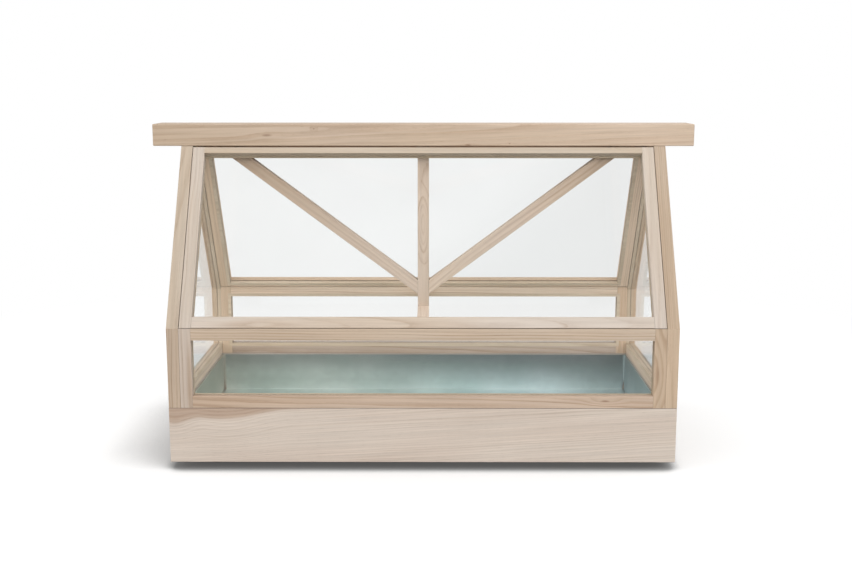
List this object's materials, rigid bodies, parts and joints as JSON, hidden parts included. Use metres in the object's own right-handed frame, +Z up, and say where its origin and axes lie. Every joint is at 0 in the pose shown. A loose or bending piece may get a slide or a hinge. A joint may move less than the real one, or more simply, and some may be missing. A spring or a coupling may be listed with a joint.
{
  "type": "mini greenhouse",
  "caption": "Small free-standing ash and glass greenhouse with a lift-off house, hinged roof sashes, an overhanging ridge beam and a zinc planting tray in its timber base.",
  "frame": {"origin": "on the ground, below the middle of the base", "axes": "+X along the ridge beam to the right, +Y from the front to the rear, +Z up"},
  "size_m": [0.82, 0.36, 0.4945],
  "materials": {
    "ash_frame": "sanded, untreated",
    "ash_boards": "sanded, untreated",
    "ash_beads": "sanded, untreated",
    "beech_dowels": "fluted, glued",
    "base_plywood": "sanded plywood",
    "clear_glass": "clear float",
    "zinc_tray": "galvanised, matt",
    "steel_pins": "bright",
    "rubber_feet": "matt"
  },
  "bodies": {
    "base": {"base_front_board": "ash_boards", "base_rear_board": "ash_boards", "base_left_board": "ash_boards", "base_right_board": "ash_boards", "base_dowels": "beech_dowels", "base_battens": "base_plywood", "base_floor_panel": "base_plywood", "base_feet": "rubber_feet", "base_foot_screws": "steel_pins"},
    "tray": {"tray": "zinc_tray"},
    "house": {"left_gable_front_post": "ash_frame", "left_gable_rear_post": "ash_frame", "left_gable_front_rafter": "ash_frame", "left_gable_rear_rafter": "ash_frame", "left_gable_bottom_rail": "ash_frame", "left_gable_top_rail": "ash_frame", "left_gable_glass": "clear_glass", "right_gable_front_post": "ash_frame", "right_gable_rear_post": "ash_frame", "right_gable_front_rafter": "ash_frame", "right_gable_rear_rafter": "ash_frame", "right_gable_bottom_rail": "ash_frame", "right_gable_top_rail": "ash_frame", "right_gable_glass": "clear_glass", "front_frame_left_stile": "ash_frame", "front_frame_right_stile": "ash_frame", "front_frame_top_rail": "ash_frame", "front_frame_bottom_rail": "ash_frame", "front_frame_glass": "clear_glass", "rear_frame_left_stile": "ash_frame", "rear_frame_right_stile": "ash_frame", "rear_frame_top_rail": "ash_frame", "rear_frame_bottom_rail": "ash_frame", "rear_frame_glass": "clear_glass", "gable_beads": "ash_beads", "frame_beads": "ash_beads", "ridge_beam": "ash_frame", "king_post": "ash_frame", "left_strut": "ash_frame", "right_strut": "ash_frame", "cross_tie": "ash_frame", "house_dowels": "beech_dowels"},
    "front_sash": {"front_sash_left_stile": "ash_frame", "front_sash_right_stile": "ash_frame", "front_sash_top_rail": "ash_frame", "front_sash_bottom_rail": "ash_frame", "front_sash_glass": "clear_glass", "front_sash_beads": "ash_beads", "front_sash_dowels": "beech_dowels", "front_sash_pivot_pins": "steel_pins"},
    "rear_sash": {"rear_sash_left_stile": "ash_frame", "rear_sash_right_stile": "ash_frame", "rear_sash_top_rail": "ash_frame", "rear_sash_bottom_rail": "ash_frame", "rear_sash_glass": "clear_glass", "rear_sash_beads": "ash_beads", "rear_sash_dowels": "beech_dowels", "rear_sash_pivot_pins": "steel_pins"}
  },
  "joints": [
    {"name": "tray_lift", "type": "slide", "parent": "base", "child": "tray", "axis": [0, 0, 1], "range_m": [0, 0.095]},
    {"name": "house_lift", "type": "slide", "parent": "base", "child": "house", "axis": [0, 0, 1], "range_m": [0, 0.15]},
    {"name": "front_sash_pivot", "type": "hinge", "parent": "house", "child": "front_sash", "pos_m": [0, -0.04012, 0.43482], "axis": [-1, 0, 0], "range_deg": [0, 152]},
    {"name": "rear_sash_pivot", "type": "hinge", "parent": "house", "child": "rear_sash", "pos_m": [0, 0.04012, 0.43482], "axis": [1, 0, 0], "range_deg": [0, 152]}
  ]
}
